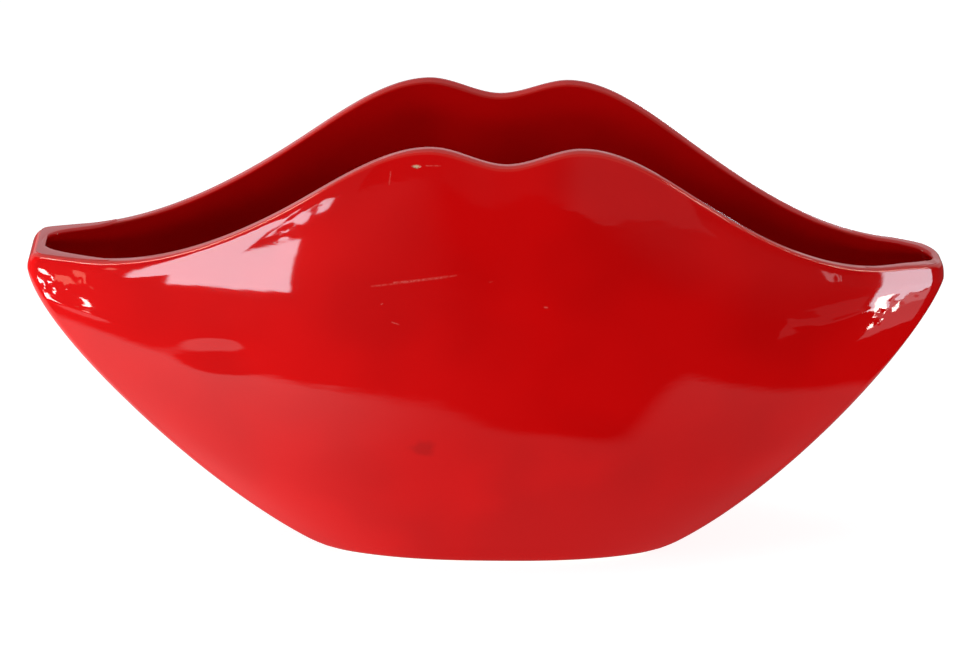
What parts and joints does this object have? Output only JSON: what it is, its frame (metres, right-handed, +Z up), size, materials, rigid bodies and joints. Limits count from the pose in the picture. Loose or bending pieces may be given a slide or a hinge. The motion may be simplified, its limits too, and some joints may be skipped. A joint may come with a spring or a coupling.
{
  "type": "lips-shaped vase",
  "caption": "Lips-shaped open vase in glossy red-glazed earthenware, with a bow-shaped rim, a pointed mouth, blunt ends and a flat foot on felt pads.",
  "frame": {"origin": "on the table, under the middle of the vase's width and depth", "axes": "+X to the right along the width, +Y to the back, +Z up"},
  "size_m": [0.34, 0.092, 0.1735],
  "materials": {
    "red_glaze": "glossy red glaze over earthenware, paler where it thins on the rim",
    "felt": "pressed wool felt"
  },
  "bodies": {
    "root": {"front_shell": "red_glaze", "rear_shell": "red_glaze", "left_seam_strip": "red_glaze", "right_seam_strip": "red_glaze", "floor_slab": "red_glaze", "floor_seam_strip": "red_glaze", "front_left_pad": "felt", "front_right_pad": "felt", "rear_left_pad": "felt", "rear_right_pad": "felt"}
  },
  "joints": []
}
